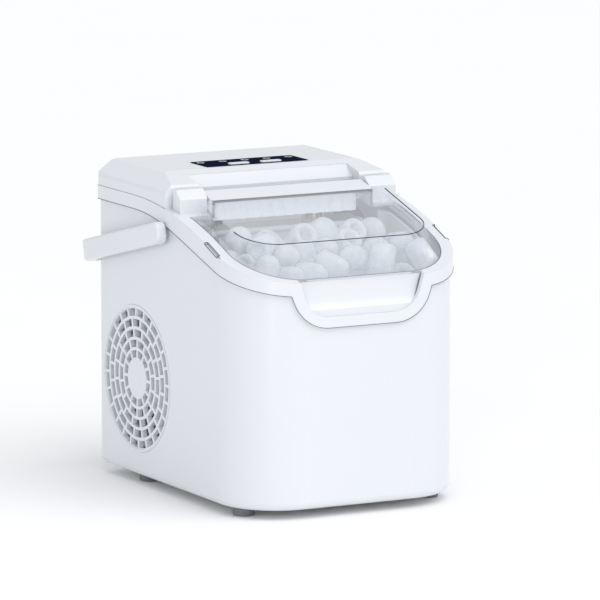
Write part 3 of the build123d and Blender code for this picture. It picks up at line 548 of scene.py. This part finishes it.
# %% Turn one piece of ice
def turned(outline, sides):
    """A closed mesh from an outline of (radius, height) points spun round Z."""
    shape = bmesh.new()
    rings = []
    for radius, height in outline:
        if radius == 0:
            rings.append([shape.verts.new((0, 0, height))])
        else:
            angles = [2 * math.pi * k / sides for k in range(sides)]
            spots = [(radius * math.cos(a), radius * math.sin(a), height) for a in angles]
            rings.append([shape.verts.new(spot) for spot in spots])
    for low, high in zip(rings, rings[1:]):
        for k in range(sides):
            after = (k + 1) % sides
            corners = [low[k % len(low)], low[after % len(low)]]
            corners += [high[after % len(high)], high[k % len(high)]]
            shape.faces.new(list(dict.fromkeys(corners)))
    bmesh.ops.recalc_face_normals(shape, faces=shape.faces)
    return shape


def thimble(radius, length, hollow):
    """Outline of one piece, from the middle of its domed end round to the bottom of its hollow."""
    half = length / 2
    turns = np.linspace(0, math.pi / 2, 7)
    dome = [(radius * math.sin(t), -half + radius * 0.8 * (1 - math.cos(t))) for t in turns]
    lip = [(radius * 0.99, half - 3.0), (radius * 0.93, half - 1.0), (radius * 0.80, half)]
    if hollow == 0:
        return dome + lip + [(radius * 0.45, half + 0.8), (0, half + 1.0)]
    mouth = [(hollow + 1.2, half - 0.4), (hollow, half - 2.0)]
    bottom = [(hollow * 0.8, half - 10.0), (hollow * 0.45, half - 14.0), (0, half - 15.0)]
    return dome + lip + mouth + bottom


# %% [markdown]
# The pieces lie every way up and press against each other. A full physics run isn't needed: each
# piece is treated as a thick line, and lines that are too close push each other apart while a
# slight weight pulls them down, inside the space between the basket and the lid.

# %% The space that the heap may fill
basket_low, basket_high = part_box("ice_basket")
basket_half = (basket_high.x - basket_low.x) / 2 / MM - 5
basket_front = (basket_low.y - middle_y) / MM + 5
basket_back = (basket_high.y - middle_y) / MM - 5
heap_floor = basket_low.z / MM + 4
basket_rim = basket_high.z / MM
WINDOW_HEIGHT = 268.7  # over the housing's centre
NOSE_FOOT, NOSE_FRONT, NOSE_RISE = 207, 141, 1.05
FLANK_FOOT, FLANK_EDGE, FLANK_RISE = 212, 100, 2.8
LIFT_ROOM = 7.2


def heap_roof(x, y, radius):
    """Highest that a ball of ice may lie under the lid's three slopes, in mm, with room to lift."""
    window = WINDOW_HEIGHT + WINDOW_RISE * y - radius * math.hypot(1, WINDOW_RISE)
    nose = NOSE_FOOT + NOSE_RISE * (y + NOSE_FRONT) - radius * math.hypot(1, NOSE_RISE)
    flank = FLANK_FOOT + FLANK_RISE * (FLANK_EDGE - np.abs(x)) - radius * math.hypot(1, FLANK_RISE)
    return np.minimum(np.minimum(window, nose), flank) - LIFT_ROOM


RIM_HALF, RIM_FRONT, RIM_BACK = 94.0, -136.0, -27.0
LEAN_FROM, LEAN = 222, 10  # over this height the heap may lean back by up to so much


def heap_walls(height):
    """Half width, front and back that ice may reach at a height: wider over the basket's rim."""
    over = height > basket_rim + 6
    half = np.where(over, RIM_HALF, basket_half)
    front = np.where(over, RIM_FRONT, basket_front)
    back = np.where(height > basket_rim - 4, RIM_BACK, basket_back)
    back = np.where(height > LEAN_FROM, RIM_BACK + np.minimum(height - LEAN_FROM, LEAN), back)
    return half, front, back


print("heap floor and rim:", round(heap_floor, 1), round(basket_rim, 1))


# %% Let the pieces settle
ROUNDS = 320
QUIET_ROUNDS = 25  # at the end only the walls push, so that no piece stays outside them
FALLING_SHARE = 0.6
HEAP_TOP = 247
END_SHARE = 0.55  # how much of its radius a piece goes on past the thick line's end


def settled(count, seed):
    """Middle points, directions, radii and half lengths of pieces that lie clear of each other."""
    luck = np.random.default_rng(seed)
    start = luck.uniform(0, 1, (count, 3))
    middle = np.column_stack([
        (start[:, 0] * 2 - 1) * (basket_half - 10),
        basket_front + 10 + start[:, 1] * (basket_back - basket_front - 20),
        heap_floor + 8 + ((np.arange(count) + 0.5) / count) ** 0.8 * (HEAP_TOP - heap_floor - 8),
    ])
    along = luck.normal(size=(count, 3))
    along[:, 2] *= 0.5
    along /= np.linalg.norm(along, axis=1)[:, None]
    radius = luck.uniform(11.0, 13.0, count)
    reach = luck.uniform(15.0, 19.0, count) - radius * END_SHARE
    first, second = np.triu_indices(count, 1)
    spots = np.array([-1.0, -0.33, 0.33, 1.0])
    for turn_number in range(ROUNDS):
        points = middle[:, None] + along[:, None] * (spots[None, :, None] * reach[:, None, None])
        gap = points[first][:, :, None] - points[second][:, None]
        length = np.linalg.norm(gap, axis=3).reshape(len(first), -1)
        nearest = length.argmin(1)
        close = length[np.arange(len(first)), nearest]
        overlap = radius[first] + radius[second] - close
        pair = np.flatnonzero(overlap > 0)
        a, b = nearest[pair] // 4, nearest[pair] % 4
        away = gap[pair, a, b] / np.maximum(close[pair], 0.01)[:, None]
        push = away * overlap[pair][:, None] * 0.5
        move, swing = np.zeros_like(middle), np.zeros_like(middle)
        np.add.at(move, first[pair], push)
        np.add.at(move, second[pair], -push)
        np.add.at(swing, first[pair], push * spots[a][:, None])
        np.add.at(swing, second[pair], -push * spots[b][:, None])
        if turn_number < ROUNDS - QUIET_ROUNDS:
            middle += np.clip(move, -3, 3) * 0.7
            along += np.clip(swing, -2, 2) * 0.04
        if turn_number < ROUNDS * FALLING_SHARE:
            middle[:, 2] -= 0.03
        along /= np.linalg.norm(along, axis=1)[:, None]
        for spot in (-1.0, 1.0):
            tip = middle + along * spot * reach[:, None]
            half, front, back = heap_walls(tip[:, 2])
            kept = np.column_stack([
                np.clip(tip[:, 0], radius - half, half - radius),
                np.clip(tip[:, 1], front + radius, back - radius),
                np.clip(tip[:, 2], heap_floor + radius, heap_roof(tip[:, 0], tip[:, 1], radius)),
            ])
            middle += (kept - tip) * 0.5
    return middle, along, radius, reach


# %% Heap the pieces
TURN = 6.28
SIDES = 20
SOLID_SHARE = 0.35  # pieces whose hollow has closed


def ice_heap(count, seed):
    """One shape of all the pieces."""
    middle, along, radius, reach = settled(count, seed)
    luck = np.random.default_rng(seed + 1)
    heap = bmesh.new()
    for k in range(count):
        hollow = 0 if luck.random() < SOLID_SHARE else radius[k] * 0.45
        piece = turned(thimble(radius[k], 2 * (reach[k] + radius[k] * END_SHARE), hollow), SIDES)
        shift = luck.uniform(0, TURN, 6)
        for v in piece.verts:
            round_about = math.atan2(v.co.y, v.co.x)
            swell = 1 + 0.02 * math.sin(0.32 * v.co.z + shift[0])
            swell += 0.02 * math.sin(2 * round_about + shift[1])
            swell += 0.015 * math.sin(3 * round_about + 0.2 * v.co.z + shift[2])
            v.co.x *= swell
            v.co.y *= swell
        lie = Vector((0, 0, 1)).rotation_difference(Vector(along[k])).to_matrix().to_4x4()
        spin = Matrix.Rotation(luck.uniform(0, TURN), 4, "Z")
        place = Matrix.Translation(Vector(middle[k]) + Vector((0, middle_y / MM, 0)))
        whole = Matrix.Scale(MM, 4) @ place @ lie @ spin
        bmesh.ops.transform(piece, matrix=whole, verts=piece.verts)
        loose = bpy.data.meshes.new("loose")
        piece.to_mesh(loose)
        heap.from_mesh(loose)
        bpy.data.meshes.remove(loose)
        piece.free()
    return heap


# %% [markdown]
# Fresh ice is clear at its skin and cloudy at its core. Seen face on it lets some light through
# where it is clear; at its outline it looks darker and shiny. That darkening is painted shade in
# its colour, and a faint painted glow brightens the ice under the lid.

# %% Ice finish
def frozen(name):
    """Cloudy ice, with painted shade at its outline and a faint painted glow."""
    bench = Bench(name)
    cloud = bench.noise(70.0, 4.0)
    facing = bench.put("ShaderNodeLayerWeight", None, {"Blend": 0.45}, out=1)
    through = bench.put("ShaderNodeBsdfTransparent", None, {"Color": (0.93, 0.95, 0.975, 1)})
    skin = bench.body(
        # Painted shade: the colour darkens towards the outline, where the ice is seen at a glancing
        # angle.
        Base_Color=bench.mixed(facing * facing, (0.93, 0.945, 0.965), (0.42, 0.45, 0.50)),
        Roughness=0.08 + 0.12 * cloud,
        # Painted light: a faint glow that brightens the ice under the lid.
        Emission_Color=(0.92, 0.95, 1, 1),
        Emission_Strength=0.10,
        Coat_Weight=0.7,
        Coat_Roughness=0.03,
        Normal=bench.bump(bench.noise(120.0), 0.0010),
    )
    share = 0.24 + 0.36 * cloud + 0.30 * facing
    shader = bench.put("ShaderNodeMixShader", None, {0: share, 1: through, 2: skin})
    return bench.done(shader)


# %% Fill the basket
PIECES, SEED = 112, 7
heap = made("ice_heap", ice_heap(PIECES, SEED), frozen("ice"))
heap.data.polygons.foreach_set("use_smooth", [True] * len(heap.data.polygons))
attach(heap, "basket")
print("ice faces:", len(heap.data.polygons))

# %% [markdown]
# ## Floor and light
# A white product stands on white. The floor runs far behind the machine, so that it is the whole
# background. An even sky fills every side, and one wide soft sun from the front right makes the
# front brighter than the left side. A tall panel adds a little light to the rounded corner.

# %% Lay the floor
def pale_floor(name):
    """Painted paper with a faint unevenness."""
    bench = Bench(name)
    shader = bench.body(
        Base_Color=bench.mixed(bench.noise(3.0), (0.93, 0.93, 0.935), (0.91, 0.91, 0.915)),
        Roughness=0.9,
        Emission_Color=(1, 1, 1, 1),
        Emission_Strength=0.03,
    )
    return bench.done(shader)


FLOOR_HALF = 40
sheet = bmesh.new()
bmesh.ops.create_grid(sheet, x_segments=4, y_segments=4, size=FLOOR_HALF)
floor = made("floor", sheet, pale_floor("floor_paper"))
print("floor half width:", FLOOR_HALF, "m")

# %% Set the lights
sky = bpy.data.worlds.new("sky")
bpy.context.scene.world = sky
sky.use_nodes = True
backdrop = next(n for n in sky.node_tree.nodes if n.type == "BACKGROUND")
backdrop.inputs["Color"].default_value = (0.965, 0.98, 1.0, 1)
SKY_STRENGTH = 0.75
backdrop.inputs["Strength"].default_value = SKY_STRENGTH
print("sky strength:", SKY_STRENGTH)


def lamp(name, kind, power, where, towards, **settings):
    """A light at a place, pointing at another."""
    light = bpy.data.lights.new(name, kind)
    light.energy = power
    for setting, value in settings.items():
        setattr(light, setting, value)
    holder = bpy.data.objects.new(name, light)
    holder.location = where
    holder.rotation_euler = (Vector(where) - Vector(towards)).to_track_quat("Z", "Y").to_euler()
    bpy.context.scene.collection.objects.link(holder)
    return holder


SUN_POWER, SUN_WIDTH = 1.2, 60  # the width is in degrees, for soft shadows
lamp("soft_sun", "SUN", SUN_POWER, (0.3, -0.64, 1.04), (0, 0, 0), angle=math.radians(SUN_WIDTH))
PANEL_POWER = 5
panel = {"shape": "RECTANGLE", "size": 0.25, "size_y": 1.2}
lamp("corner_panel", "AREA", PANEL_POWER, (-1.0, -1.6, 0.5), (0, 0, 0.15), **panel)
bpy.context.scene.view_settings.view_transform = "Standard"
print("lights set")
